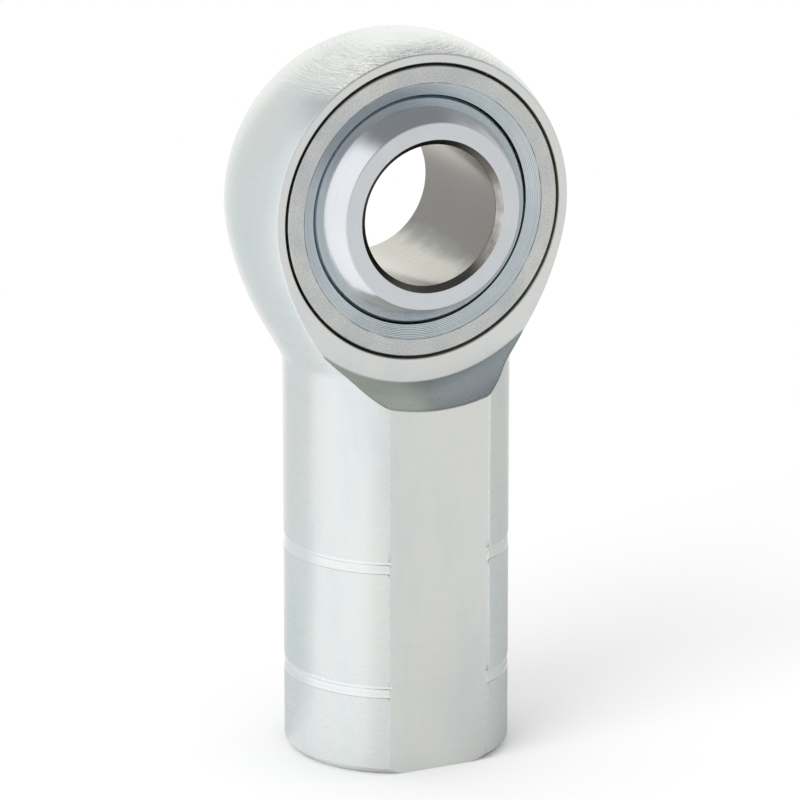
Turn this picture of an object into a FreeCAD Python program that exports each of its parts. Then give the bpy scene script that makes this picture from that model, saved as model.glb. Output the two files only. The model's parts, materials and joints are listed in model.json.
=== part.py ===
import FreeCAD, Part
import math
import os

# Female rod end for a five-eighths inch pin: a turned and plated housing, a pressed-in race and a
# polished ball that swivels in it. The shank is bored and threaded from below.
# Frame: the origin is the centre of the base, Z runs up the shank to the head, Y is the axis of the
# ball's bore, and the two wrench flats face -Y and +Y.

# Driving sizes in millimetres and degrees. Each one can be changed by itself.

# Ball, a sphere cut flat on both sides and bored for the pin
PIN_BORE = 15.875
PIN_BORE_CHAMFER = 0.68
BALL_FACE_RING = 2.03
BALL_WIDTH = 19.05
BALL_EDGE_BREAK = 0.15

# Race, the ring whose inside is the ball's spherical seat
SEAT_CLEARANCE = 0.05
RACE_WALL = 2.01
RACE_MOUTH_DEPTH = 0.88
RACE_FACE_RING = 1.47
RACE_EDGE_CHAMFER = 0.45

# Head of the housing, a sphere milled flat on both sides. The ball stands out of it by the same
# amount on each side.
HEAD_WALL = 2.70
HEAD_HEIGHT = 63.50
HEAD_MOUTH_CHAMFER = 0.35
BALL_STANDOUT = 2.385

# Neck, where the head narrows to the shank
NECK_START_ANGLE = 11.5
NECK_BLEND_RADIUS = 34.0
NECK_TAPER_ANGLE = 29.0
NECK_FILLET = 3.0

# Ledge, the wall that the face cutter leaves above each wrench flat
LEDGE_CUTTER_MARGIN = 0.25
LEDGE_WALL_ANGLE = 30.0

# Shank with its wrench flats and turned marker grooves
SHANK_DIAMETER = 25.40
FLAT_DEPTH = 1.60
BASE_CHAMFER = 0.80
GROOVE_COUNT = 2
GROOVE_FIRST_HEIGHT = 9.10
GROOVE_PITCH = 14.55
GROOVE_WIDTH = 1.45
GROOVE_DEPTH = 0.28
GROOVE_SHOULDER = 0.35

# Threaded hole in the shank, five-eighths by 18 threads to the inch, shown at its minor diameter.
# The drill's point stops short of the race by the thickness of the roof.
THREAD_MAJOR = 15.875
THREAD_PITCH = 25.4 / 18
DRILL_POINT_ANGLE = 118.0
HOLE_ROOF = 4.84

# Sizes that follow from the driving ones
PIN_RADIUS = PIN_BORE / 2
BALL_HALF = BALL_WIDTH / 2
BALL_FACE_RADIUS = PIN_RADIUS + PIN_BORE_CHAMFER + BALL_FACE_RING
BALL_RADIUS = math.hypot(BALL_FACE_RADIUS, BALL_HALF)
SEAT_RADIUS = BALL_RADIUS + SEAT_CLEARANCE
RACE_RADIUS = SEAT_RADIUS + RACE_WALL
HEAD_RADIUS = RACE_RADIUS + HEAD_WALL
HEAD_HALF = BALL_HALF - BALL_STANDOUT
SHANK_RADIUS = SHANK_DIAMETER / 2
FLAT_HALF = SHANK_RADIUS - FLAT_DEPTH
LEDGE_RADIUS = HEAD_RADIUS + LEDGE_CUTTER_MARGIN
# The minor diameter of a unified internal thread is the major one less 1.0825 pitches.
THREAD_MINOR_RADIUS = (THREAD_MAJOR - 1.0825 * THREAD_PITCH) / 2
# How far a cutter reaches past what it cuts, and how closely a circle's size is matched
CUT_MARGIN = 1.0
RING_TOLERANCE = 0.001

X_AXIS = FreeCAD.Vector(1, 0, 0)
Z_AXIS = FreeCAD.Vector(0, 0, 1)
ORIGIN = FreeCAD.Vector(0, 0, 0)
HEAD_CENTRE = FreeCAD.Vector(0, 0, HEAD_HEIGHT)


def at(radius, height):
    """Point of a turning profile, at a radius from the Z axis and a height along it."""
    return FreeCAD.Vector(radius, 0, height)


def on_circle(centre, radius, angle):
    """Point of a turning profile on a circle, at an angle in degrees above the horizontal."""
    turn = math.radians(angle)
    return centre + at(radius * math.cos(turn), radius * math.sin(turn))


def line(start, end):
    """Straight edge of a profile."""
    return Part.LineSegment(start, end).toShape()


def arc(centre, radius, start_angle, end_angle):
    """Round edge of a profile, between two angles in degrees above the horizontal."""
    angles = (start_angle, (start_angle + end_angle) / 2, end_angle)
    return Part.Arc(*[on_circle(centre, radius, angle) for angle in angles]).toShape()


def chain(points):
    """Straight edges through the points, in order."""
    return [line(start, end) for start, end in zip(points, points[1:])]


def turned(edges):
    """Solid turned about the Z axis from a closed profile."""
    profile = Part.Face(Part.Wire(edges))
    return profile.revolve(ORIGIN, Z_AXIS, 360)


def along_bore(solid):
    """A solid turned about Z, laid along the bore at the centre of the head."""
    laid = solid.copy()
    laid.rotate(ORIGIN, X_AXIS, 90)
    laid.translate(HEAD_CENTRE)
    return laid


def tapering_head():
    """Head sphere that runs through a wide arc into a cone, whose tip ends inside the shank."""
    blend_centre = on_circle(ORIGIN, HEAD_RADIUS - NECK_BLEND_RADIUS, -NECK_START_ANGLE)
    cone_start = on_circle(blend_centre, NECK_BLEND_RADIUS, -NECK_TAPER_ANGLE)
    tip = at(0, cone_start.z - cone_start.x / math.tan(math.radians(NECK_TAPER_ANGLE)))
    edges = [
        arc(ORIGIN, HEAD_RADIUS, 90, -NECK_START_ANGLE),
        arc(blend_centre, NECK_BLEND_RADIUS, -NECK_START_ANGLE, -NECK_TAPER_ANGLE),
        line(cone_start, tip),
        line(tip, at(0, HEAD_RADIUS)),
    ]
    head = turned(edges)
    head.translate(HEAD_CENTRE)
    return head


def shank():
    """Round shank up to the middle of the head, with its base chamfer and marker grooves."""
    points = [at(0, 0), at(SHANK_RADIUS - BASE_CHAMFER, 0), at(SHANK_RADIUS, BASE_CHAMFER)]
    for index in range(GROOVE_COUNT):
        bottom = GROOVE_FIRST_HEIGHT + index * GROOVE_PITCH
        points.append(at(SHANK_RADIUS, bottom))
        points.append(at(SHANK_RADIUS - GROOVE_DEPTH, bottom + GROOVE_SHOULDER))
        points.append(at(SHANK_RADIUS, bottom + GROOVE_WIDTH))
    points += [at(SHANK_RADIUS, HEAD_HEIGHT), at(0, HEAD_HEIGHT), at(0, 0)]
    return turned(chain(points))


def neck_ring(blank):
    """Circle on which the neck meets the shank: the highest one of the shank's size."""
    rings = []
    for edge in blank.Edges:
        box = edge.BoundBox
        if box.ZLength < RING_TOLERANCE and abs(box.XLength - SHANK_DIAMETER) < RING_TOLERANCE:
            rings.append(edge)
    return max(rings, key=lambda ring: ring.BoundBox.ZMin)


def face_cutter():
    """Space that the face cutter sweeps beside the head, widening away from the face."""
    reach = HEAD_HALF + HEAD_RADIUS
    widening = HEAD_RADIUS * math.tan(math.radians(LEDGE_WALL_ANGLE))
    corners = [
        at(0, HEAD_HALF),
        at(LEDGE_RADIUS, HEAD_HALF),
        at(LEDGE_RADIUS + widening, reach),
        at(0, reach),
        at(0, HEAD_HALF),
    ]
    return along_bore(turned(chain(corners)))


def flat_cutter():
    """Block outside one wrench flat, from below the base up to the centre of the head."""
    across = SHANK_DIAMETER + 2 * CUT_MARGIN
    block = Part.makeBox(across, FLAT_DEPTH + CUT_MARGIN, HEAD_HEIGHT + CUT_MARGIN)
    block.translate(FreeCAD.Vector(-across / 2, FLAT_HALF, -CUT_MARGIN))
    return block


def race_bore():
    """Bore of the head that holds the race, with a small chamfer at both mouths."""
    wide = RACE_RADIUS + HEAD_MOUTH_CHAMFER
    narrow_half = HEAD_HALF - HEAD_MOUTH_CHAMFER
    outer_half = HEAD_HALF + CUT_MARGIN
    points = [
        at(0, -outer_half),
        at(wide, -outer_half),
        at(wide, -HEAD_HALF),
        at(RACE_RADIUS, -narrow_half),
        at(RACE_RADIUS, narrow_half),
        at(wide, HEAD_HALF),
        at(wide, outer_half),
        at(0, outer_half),
        at(0, -outer_half),
    ]
    return along_bore(turned(chain(points)))


def thread_hole():
    """Blind hole from the base with its drill point, opened at the mouth to the major diameter."""
    mouth = THREAD_MAJOR / 2
    countersink = mouth - THREAD_MINOR_RADIUS
    tip = HEAD_HEIGHT - RACE_RADIUS - HOLE_ROOF
    shoulder = tip - THREAD_MINOR_RADIUS / math.tan(math.radians(DRILL_POINT_ANGLE / 2))
    points = [
        at(0, -CUT_MARGIN),
        at(mouth, -CUT_MARGIN),
        at(mouth, 0),
        at(THREAD_MINOR_RADIUS, countersink),
        at(THREAD_MINOR_RADIUS, shoulder),
        at(0, tip),
        at(0, -CUT_MARGIN),
    ]
    return turned(chain(points))


def mirrored(solid):
    """The same solid on the other side of the XZ plane."""
    return solid.mirror(ORIGIN, FreeCAD.Vector(0, 1, 0))


def make_body():
    """Housing: head, neck and shank in one piece, then milled, bored and drilled."""
    blank = tapering_head().fuse(shank()).removeSplitter()
    blank = blank.makeFillet(NECK_FILLET, [neck_ring(blank)])
    for cutter in (face_cutter(), flat_cutter()):
        blank = blank.cut(cutter)
        blank = blank.cut(mirrored(cutter))
    return blank.cut(race_bore()).cut(thread_hole())


def make_race():
    """Race: chamfered outer edges, flat faces, conical mouths and the spherical seat."""
    seat_edge_height = HEAD_HALF - RACE_MOUTH_DEPTH
    seat_edge_radius = math.sqrt(SEAT_RADIUS ** 2 - seat_edge_height ** 2)
    seat_angle = math.degrees(math.asin(seat_edge_height / SEAT_RADIUS))
    face_radius = RACE_RADIUS - RACE_EDGE_CHAMFER
    mouth_radius = face_radius - RACE_FACE_RING
    chamfer_height = HEAD_HALF - RACE_EDGE_CHAMFER
    outside = [
        at(seat_edge_radius, seat_edge_height),
        at(mouth_radius, HEAD_HALF),
        at(face_radius, HEAD_HALF),
        at(RACE_RADIUS, chamfer_height),
        at(RACE_RADIUS, -chamfer_height),
        at(face_radius, -HEAD_HALF),
        at(mouth_radius, -HEAD_HALF),
        at(seat_edge_radius, -seat_edge_height),
    ]
    seat = arc(ORIGIN, SEAT_RADIUS, -seat_angle, seat_angle)
    return along_bore(turned(chain(outside) + [seat]))


def make_ball():
    """Ball: the sphere between its two flat faces, with broken edges and a chamfered bore."""
    break_height = BALL_HALF - BALL_EDGE_BREAK
    break_radius = math.sqrt(BALL_RADIUS ** 2 - break_height ** 2)
    sphere_angle = math.degrees(math.asin(break_height / BALL_RADIUS))
    ring_radius = BALL_FACE_RADIUS - BALL_EDGE_BREAK
    chamfer_radius = PIN_RADIUS + PIN_BORE_CHAMFER
    chamfer_height = BALL_HALF - PIN_BORE_CHAMFER
    inside = [
        at(break_radius, break_height),
        at(ring_radius, BALL_HALF),
        at(chamfer_radius, BALL_HALF),
        at(PIN_RADIUS, chamfer_height),
        at(PIN_RADIUS, -chamfer_height),
        at(chamfer_radius, -BALL_HALF),
        at(ring_radius, -BALL_HALF),
        at(break_radius, -break_height),
    ]
    sphere = arc(ORIGIN, BALL_RADIUS, -sphere_angle, sphere_angle)
    return along_bore(turned(chain(inside) + [sphere]))


def main():
    """Build each piece and write it to its own file."""
    os.makedirs("parts", exist_ok=True)
    pieces = {"body": make_body(), "race": make_race(), "ball": make_ball()}
    for name, shape in pieces.items():
        solid = shape.Solids[0]
        print(name, "valid", solid.isValid(), "solids", len(shape.Solids), "volume", round(solid.Volume, 1))
        solid.exportStep(os.path.join("parts", name + ".step"))


main()
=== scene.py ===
import json
import logging
import math
from collections.abc import Callable
from dataclasses import dataclass, field
from enum import Enum, IntEnum
from functools import partial

import bpy
import numpy as np
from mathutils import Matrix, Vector


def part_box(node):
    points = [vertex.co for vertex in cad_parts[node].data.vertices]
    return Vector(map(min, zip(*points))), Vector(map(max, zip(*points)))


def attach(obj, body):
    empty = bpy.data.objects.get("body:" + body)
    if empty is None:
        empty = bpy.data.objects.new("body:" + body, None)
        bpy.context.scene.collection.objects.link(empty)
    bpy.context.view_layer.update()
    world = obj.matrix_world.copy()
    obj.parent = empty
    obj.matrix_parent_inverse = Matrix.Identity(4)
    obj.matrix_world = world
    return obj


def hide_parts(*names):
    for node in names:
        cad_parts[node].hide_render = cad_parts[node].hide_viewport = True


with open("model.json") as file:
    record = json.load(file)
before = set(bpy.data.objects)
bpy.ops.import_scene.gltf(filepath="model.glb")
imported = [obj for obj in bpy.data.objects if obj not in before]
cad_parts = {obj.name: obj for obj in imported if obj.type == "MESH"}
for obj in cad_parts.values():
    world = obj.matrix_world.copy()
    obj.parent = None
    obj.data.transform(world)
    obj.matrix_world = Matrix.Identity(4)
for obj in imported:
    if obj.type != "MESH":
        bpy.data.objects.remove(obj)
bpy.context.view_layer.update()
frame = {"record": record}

# Visual model of a plated female rod end: turned and milled housing with a real internal thread,
# pressed-in race and polished ball. Sizes are in millimetres until a mesh is made, where they
# become metres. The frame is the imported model's: Z up the shank, Y along the ball's bore.

LOG = logging.getLogger("rod_end")
MM = 0.001


# Meshes: parts of a full turn, the longest stretch of a profile, the most that an arc may stand
# off its chord, and the fewest parts of an arc. The two rings have finer steps than the housing.
AROUND_SHANK = 192
AROUND_BORE = 256
LONGEST = 2.5
SAGITTA = 0.0015
RING_LONGEST = 0.8
RING_SAGITTA = 0.0012
FEWEST = 3

# Tolerances: lengths that count as nothing, radii and other numbers that count as zero, and a
# slack for telling which surface the middle of a face lies on.
TINY = 1e-9
POLE = 1e-6
NEAR = 0.02

# Noise: the range of most of its values, those over which speckles and tears set in, the values
# of the three tints, what a streak gains in light for what it loses in dark, and the share that
# patches keep in a tint that runs from side to side as painted light and shade.
NOISE_MOST = (0.3, 0.7)
SPECKLE_AT = (0.36, 0.52)
TEARS_AT = (0.58, 0.70)
TINTS_AT = (0.34, 0.5, 0.66)
BRIGHTENING = 0.4
PATCH_SHARE = 0.4

Points = np.ndarray
Pair = tuple[float, float]
Triple = tuple[float, float, float]
Colour = tuple[float, float, float]
Faces = list[tuple[int, ...]]
Socket = bpy.types.NodeSocket
Input = Socket | float | tuple[float, ...]


class Axis(Enum):
    """Axis that a profile is turned about."""

    SHANK = "shank"
    BORE = "bore"


class Surface(Enum):
    """Which cut left a part of the housing's surface; its value is the material's place."""

    TURNED = 0
    FACE = 1
    LEDGE = 2
    FLAT = 3
    BORE = 4
    THREAD = 5
    GROOVE = 6
    EDGE = 7
    SEAM = 8


class Cut(IntEnum):
    """Place of each solid among those that the housing is carved from."""

    BLANK = 0
    FLATS = 1
    FRONT = 2
    BACK = 3
    BORE = 4
    HOLE = 5


# Profiles


def turned_over(corners: list[Triple]) -> list[Triple]:
    """Mirrors a row of corners about the middle of a ring.

    Args:
        corners: rows of (radius, height, rounding radius).

    Returns:
        The mirrored corners from the last to the first, so that the solid stays on the left.
    """
    return [(radius, -height, rounding) for radius, height, rounding in reversed(corners)]


@dataclass(frozen=True)
class Run:
    """One stretch of a turning profile, straight, or round where it has a centre.

    Points are (radius, height). The solid is on the left of the way from start to end.
    """

    start: Pair
    end: Pair
    centre: Pair | None = None
    sweep: float = 0.0

    def length(self) -> float:
        """Length of the stretch.

        Returns:
            The length in millimetres.
        """
        if self.centre is None:
            return math.dist(self.start, self.end)
        return abs(self.sweep) * math.dist(self.start, self.centre)

    def samples(self, longest: float, sagitta: float) -> list[Pair]:
        """Points along the stretch, without its last one.

        Args:
            longest: the most millimetres between two points.
            sagitta: the most millimetres between an arc and its chord.

        Returns:
            The points, from the start on.
        """
        parts = max(1, math.ceil(self.length() / longest))
        if self.centre is not None:
            turn = 2 * math.acos(1 - sagitta / math.dist(self.start, self.centre))
            parts = max(parts, math.ceil(abs(self.sweep) / turn), FEWEST)
        return [self.at(index / parts) for index in range(parts)]

    def at(self, share: float) -> Pair:
        """Point of the stretch.

        Args:
            share: share of the way along it.

        Returns:
            The point.
        """
        if self.centre is None:
            return tuple(s + (e - s) * share for s, e in zip(self.start, self.end))
        radius = math.dist(self.start, self.centre)
        first = math.atan2(self.start[1] - self.centre[1], self.start[0] - self.centre[0])
        angle = first + self.sweep * share
        return self.centre[0] + radius * math.cos(angle), self.centre[1] + radius * math.sin(angle)

    def nearest(self, points: Points) -> tuple[Points, Points, Points]:
        """Nearest point of the stretch to each given point.

        Args:
            points: rows of (radius, height).

        Returns:
            The nearest points, the outward normals there, and the share of the way along.
        """
        start, end = np.array(self.start), np.array(self.end)
        if self.centre is None:
            way = end - start
            share = np.clip((points - start) @ way / (way @ way), 0, 1)
            foot = start + share[:, None] * way
            normal = np.array([way[1], -way[0]]) / np.linalg.norm(way)
            return foot, np.broadcast_to(normal, foot.shape), share
        centre = np.array(self.centre)
        radius = np.linalg.norm(start - centre)
        first = math.atan2(*(start - centre)[::-1])
        away = points - centre
        angle = np.arctan2(away[:, 1], away[:, 0]) - first
        middle = self.sweep / 2
        angle = (angle - middle + math.pi) % math.tau - math.pi + middle
        share = np.clip(angle / self.sweep, 0, 1)
        turn = first + share * self.sweep
        ray = np.stack([np.cos(turn), np.sin(turn)], axis=1)
        return centre + radius * ray, ray * math.copysign(1, self.sweep), share


@dataclass(frozen=True)
class Profile:
    """Turning profile: a row of stretches, each of which starts where the one before ends."""

    runs: tuple[Run, ...]
    closed: bool = False

    @staticmethod
    def rounded(corners: list[Triple], closed: bool = False) -> "Profile":
        """Profile through corners, each rounded to its own radius.

        Args:
            corners: rows of (radius, height, rounding radius).
            closed: whether the last corner joins the first one.

        Returns:
            The profile.
        """
        count = len(corners)
        joints = []
        for index, (r, z, rounding) in enumerate(corners):
            inner = closed or 0 < index < count - 1
            if not inner or rounding <= 0:
                joints.append(((r, z), (r, z), None, 0.0))
                continue
            here = np.array([r, z])
            back = np.array(corners[index - 1][:2]) - here
            on = np.array(corners[(index + 1) % count][:2]) - here
            back, on = back / np.linalg.norm(back), on / np.linalg.norm(on)
            half = math.acos(float(np.clip(back @ on, -1, 1))) / 2
            reach = rounding / math.tan(half)
            middle = (back + on) / np.linalg.norm(back + on)
            centre = here + middle * rounding / math.sin(half)
            side = math.copysign(1, -back[0] * on[1] + back[1] * on[0])
            sweep = side * (math.pi - 2 * half)
            joints.append((tuple(here + back * reach), tuple(here + on * reach), tuple(centre), sweep))
        runs = []
        for index, (first, last, centre, sweep) in enumerate(joints):
            if centre is not None:
                runs.append(Run(first, last, centre, sweep))
            if index + 1 < count or closed:
                target = joints[(index + 1) % count][0]
                if math.dist(last, target) > TINY:
                    runs.append(Run(last, target))
        return Profile(tuple(runs), closed)

    def followed_by(self, *runs: Run) -> "Profile":
        """The same profile with more stretches after its last one."""
        return Profile(self.runs + runs, self.closed)

    def samples(self, longest: float, sagitta: float) -> list[Pair]:
        """Points of the whole profile.

        Args:
            longest: the most millimetres between two points.
            sagitta: the most millimetres between an arc and its chord.

        Returns:
            The points, from the start of the profile on.
        """
        rows = [p for run in self.runs for p in run.samples(longest, sagitta)]
        if not self.closed:
            rows.append(self.runs[-1].end)
        return rows

    def distance(self, points: Points) -> tuple[Points, Points, Points]:
        """Signed distance to the profile, negative in the solid.

        Args:
            points: rows of (radius, height).

        Returns:
            The distances, the outward normals at the nearest points, and the length of profile
            before those points.
        """
        best = np.full(len(points), np.inf)
        signed = np.zeros(len(points))
        normal = np.zeros((len(points), 2))
        along = np.zeros(len(points))
        passed = 0.0
        for run in self.runs:
            foot, out, share = run.nearest(points)
            away = points - foot
            gap = np.linalg.norm(away, axis=1)
            closer = gap < best
            best[closer] = gap[closer]
            side = np.einsum("ij,ij->i", away, out)
            signed[closer] = np.where(side < 0, -gap, gap)[closer]
            normal[closer] = out[closer]
            along[closer] = (passed + share * run.length())[closer]
            passed += run.length()
        return signed, normal, along


# Solids as distance fields


def add_face(faces: Faces, *corners: int) -> None:
    """Adds a face to a mesh, where at least three of its corners differ.

    Args:
        faces: the faces so far.
        corners: point numbers round the face.
    """
    kept = tuple(dict.fromkeys(corners))
    if len(kept) > 2:
        faces.append(kept)


@dataclass(frozen=True)
class Turned:
    """Solid turned from a profile, about the shank's axis or the bore's."""

    profile: Profile
    axis: Axis
    centre_height: float = 0.0

    def local(self, points: Points) -> tuple[Points, Points, Points]:
        """Splits points into those of the profile's plane and the unit rays that turn it.

        Args:
            points: rows of (x, y, z).

        Returns:
            Rows of (radius, height), and the rays' x and z (or x and y) parts.
        """
        if self.axis is Axis.SHANK:
            first, second, height = points[:, 0], points[:, 1], points[:, 2]
        else:
            first, second, height = points[:, 0], points[:, 2] - self.centre_height, -points[:, 1]
        radius = np.hypot(first, second)
        safe = np.maximum(radius, TINY)
        return np.stack([radius, height], axis=1), first / safe, second / safe

    def field(self, points: Points) -> tuple[Points, Points]:
        """Signed distance to the solid.

        Args:
            points: rows of (x, y, z).

        Returns:
            The distances, negative in the solid, and their gradients.
        """
        flat, first, second = self.local(points)
        signed, normal, _ = self.profile.distance(flat)
        if self.axis is Axis.SHANK:
            gradient = np.stack([normal[:, 0] * first, normal[:, 0] * second, normal[:, 1]], axis=1)
        else:
            gradient = np.stack([normal[:, 0] * first, -normal[:, 1], normal[:, 0] * second], axis=1)
        return signed, gradient

    def along(self, points: Points) -> Points:
        """Length of profile before the nearest point of it."""
        return self.profile.distance(self.local(points)[0])[2]

    def mesh(self, around: int, longest: float, sagitta: float) -> tuple[Points, Faces]:
        """Mesh of the solid.

        Args:
            around: number of parts of the full turn.
            longest: the most millimetres between two rings.
            sagitta: the most millimetres between an arc of the profile and its chord.

        Returns:
            The points, and the faces as rows of their numbers.
        """
        rows = self.profile.samples(longest, sagitta)
        angles = np.arange(around) * (math.tau / around)
        points, rings = [], []
        for radius, height in rows:
            if radius < POLE:
                rings.append([len(points)] * around)
                points.append((0.0, 0.0, height))
                continue
            rings.append(list(range(len(points), len(points) + around)))
            points += [(radius * math.cos(a), radius * math.sin(a), height) for a in angles]
        faces = []
        pairs = list(zip(rings, rings[1:]))
        if self.profile.closed:
            pairs.append((rings[-1], rings[0]))
        for low, high in pairs:
            for index in range(around):
                after = (index + 1) % around
                add_face(faces, low[index], low[after], high[after], high[index])
        placed = np.array(points)
        if self.axis is Axis.BORE:
            placed = placed[:, [0, 2, 1]] * (1, -1, 1) + (0, 0, self.centre_height)
        return placed, faces


@dataclass(frozen=True)
class Slab:
    """Space between two parallel planes, at the same distance each side of the XZ plane."""

    half: float
    columns: int = 18
    rows: int = 40
    below: float = 1.0

    def field(self, points: Points) -> tuple[Points, Points]:
        """Signed distance to the planes.

        Args:
            points: rows of (x, y, z).

        Returns:
            The distances, negative between the planes, and their gradients.
        """
        gradient = np.zeros_like(points)
        gradient[:, 1] = np.sign(points[:, 1])
        return np.abs(points[:, 1]) - self.half, gradient

    def cutters(self, across: float, height: float, reach: float) -> tuple[Points, Faces]:
        """The two blocks outside the planes, each with a fine grid on its inner side.

        Args:
            across: width of a block.
            height: how high a block reaches from below the base.
            reach: how far a block reaches out.

        Returns:
            The points, and the faces as rows of their numbers.
        """
        columns, rows = self.columns, self.rows
        points, faces = [], []
        wide, layer = columns + 1, (columns + 1) * (rows + 1)
        for side in (-1, 1):
            first = len(points)
            for depth in (self.half, reach):
                for row in range(rows + 1):
                    for column in range(columns + 1):
                        x = side * across * (column / columns - 0.5)
                        z = -self.below + (height + self.below) * row / rows
                        points.append((x, side * depth, z))
            rims = []
            for row in range(rows):
                for column in range(columns):
                    a = first + row * wide + column
                    b, c, d = a + 1, a + wide + 1, a + wide
                    faces += [(a, b, c, d), (d + layer, c + layer, b + layer, a + layer)]
            for column in range(columns):
                a, d = first + column, first + rows * wide + column
                rims += [(a + 1, a), (d, d + 1)]
            for row in range(rows):
                a, b = first + row * wide, first + row * wide + columns
                rims += [(a, a + wide), (b + wide, b)]
            faces += [(a, b, b + layer, a + layer) for a, b in rims]
        return np.array(points), faces


@dataclass(frozen=True)
class ThreadedHole:
    """Blind hole from below with a real helical thread, cut outward from its minor radius."""

    minor: float
    major: float
    pitch: float
    depth: float
    tip: float
    point_angle: float = 118.0
    runout: float = 1.6
    rounding: float = 0.045
    root: float = 0.125
    crest: float = 0.25
    samples: int = 400
    below: float = 1.0

    def ridge(self, phase: Points) -> Points:
        """Form of the thread.

        Args:
            phase: places along the shank, counted in pitches.

        Returns:
            The share of the thread's depth at each, with rounded corners.
        """
        grid = np.linspace(0, 1, self.samples, endpoint=False)
        root, crest = self.root / 2, self.crest / 2
        bends = [0, root, 0.5 - crest, 0.5 + crest, 1 - root, 1]
        bend = np.interp(grid, bends, [1, 1, 0, 0, 1, 1])
        reach = int(self.rounding * len(grid))
        smooth = np.mean([np.roll(bend, k) for k in range(-reach, reach + 1)], axis=0)
        return np.interp(phase % 1.0, np.append(grid, 1.0), np.append(smooth, smooth[0]))

    def radius(self, angle: Points, height: Points) -> Points:
        """Radius of the hole.

        Args:
            angle: angles round the shank.
            height: heights above the base.

        Returns:
            The radius at each.
        """
        left = np.clip((self.depth - height) / self.runout, 0, 1)
        fade = left * left * (3 - 2 * left)
        cut = (self.major - self.minor) * self.ridge(height / self.pitch - angle / math.tau)
        thread = self.minor + cut * fade
        point = (self.tip - height) * math.tan(math.radians(self.point_angle / 2))
        return np.maximum(np.minimum(thread, point), self.major - height)

    def field(self, points: Points) -> tuple[Points, Points]:
        """Signed distance to the hole's wall.

        Args:
            points: rows of (x, y, z).

        Returns:
            The distances, negative in the hole, and their gradients.
        """
        step = 0.004
        radius = np.maximum(np.hypot(points[:, 0], points[:, 1]), TINY)
        angle = np.arctan2(points[:, 1], points[:, 0])
        height = points[:, 2]
        wall = self.radius(angle, height)
        rise = (self.radius(angle, height + step) - self.radius(angle, height - step)) / (2 * step)
        slant = 1 / np.sqrt(1 + rise**2)
        signed = (radius - wall) * slant
        gradient = np.stack([points[:, 0] / radius, points[:, 1] / radius, -rise], axis=1)
        return signed, gradient * slant[:, None]

    def mesh(self, around: int, per_pitch: int) -> tuple[Points, Faces]:
        """Mesh of the hole, whose rows climb with the thread.

        Args:
            around: number of parts of the full turn.
            per_pitch: number of rows to a pitch.

        Returns:
            The points, and the faces as rows of their numbers.
        """
        low, high = -self.below, self.tip - self.minor / math.tan(math.radians(self.point_angle / 2))
        rows = per_pitch * (math.ceil((high - low) / self.pitch) + 2)
        climb = np.arange(-per_pitch, rows) / per_pitch
        columns = []
        points: list[Triple] = []
        for column in range(around):
            turn = math.tau * column / around
            heights = np.clip(low + self.pitch * (climb + column / around), low, high)
            kept, spots = np.unique(heights, return_inverse=True)
            radii = self.radius(np.full(len(kept), turn), kept)
            columns.append((len(points) + spots).tolist())
            points += [(r * math.cos(turn), r * math.sin(turn), z) for r, z in zip(radii, kept)]
        faces = []
        total = rows + per_pitch
        for column, here in enumerate(columns):
            after = columns[(column + 1) % around]
            shift = per_pitch if column + 1 == around else 0
            for row in range(total - 1):
                lower = after[min(row + shift, total - 1)]
                upper = after[min(row + 1 + shift, total - 1)]
                add_face(faces, here[row], lower, upper, here[row + 1])
        bottom, top = len(points), len(points) + 1
        points += [(0.0, 0.0, low), (0.0, 0.0, self.tip)]
        for here, after in zip(columns, columns[1:] + columns[:1]):
            faces += [(bottom, after[0], here[0]), (top, here[-1], after[-1])]
        return np.array(points), faces


@dataclass(frozen=True)
class Carved:
    """A blank less what the cutters take away, with every edge broken to one small radius.

    Where a second surface comes nearer than the meeting share of that radius, two surfaces meet.
    """

    blank: Turned
    keep: tuple[Slab, ...]
    cutters: tuple[Turned | ThreadedHole, ...]
    edge: float
    meeting: float = 0.42

    def members(self) -> list[tuple[Turned | Slab | ThreadedHole, int]]:
        """Every solid, with 1 where it is kept and -1 where it is taken away."""
        kept = [(solid, 1) for solid in (self.blank, *self.keep)]
        return kept + [(solid, -1) for solid in self.cutters]

    def parts(self, points: Points) -> list[tuple[Points, Points]]:
        """Signed distance to each surface.

        Args:
            points: rows of (x, y, z).

        Returns:
            The distances, negative where there is material, and the gradients, of each surface.
        """
        found = []
        for solid, sign in self.members():
            signed, gradient = solid.field(points)
            found.append((signed * sign, gradient * sign))
        return found

    def measure(self, number: int, points: Points) -> Points:
        """Signed distance to the surface of that number, negative where there is material."""
        solid, sign = self.members()[number]
        return solid.field(points)[0] * sign

    def field(self, points: Points) -> tuple[Points, Points]:
        """Signed distance to the whole shape.

        Args:
            points: rows of (x, y, z).

        Returns:
            The distances, negative in the material, and their gradients.
        """
        parts = self.parts(points)
        signed = np.stack([p[0] for p in parts])
        gradient = np.stack([p[1] for p in parts])
        near = np.maximum(signed + self.edge, 0)
        length = np.linalg.norm(near, axis=0)
        inside = length <= TINY
        share = near / np.where(inside, 1, length)
        mixed = np.einsum("ij,ijk->jk", share, gradient)
        largest = np.argmax(signed, axis=0)
        columns = np.arange(len(points))
        value = np.where(inside, signed[largest, columns], length - self.edge)
        mixed[inside] = gradient[largest, columns][inside]
        return value, mixed

    def which(self, points: Points) -> tuple[Points, Points]:
        """Surfaces that points lie on.

        Args:
            points: rows of (x, y, z).

        Returns:
            The number of each one's surface, and of the one that meets it there or -1.
        """
        signed = np.stack([p[0] for p in self.parts(points)])
        order = np.argsort(signed, axis=0)
        second = order[-2]
        close = signed[second, np.arange(len(points))] > -self.meeting * self.edge
        return order[-1], np.where(close, second, -1)


# Mesh work


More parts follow.
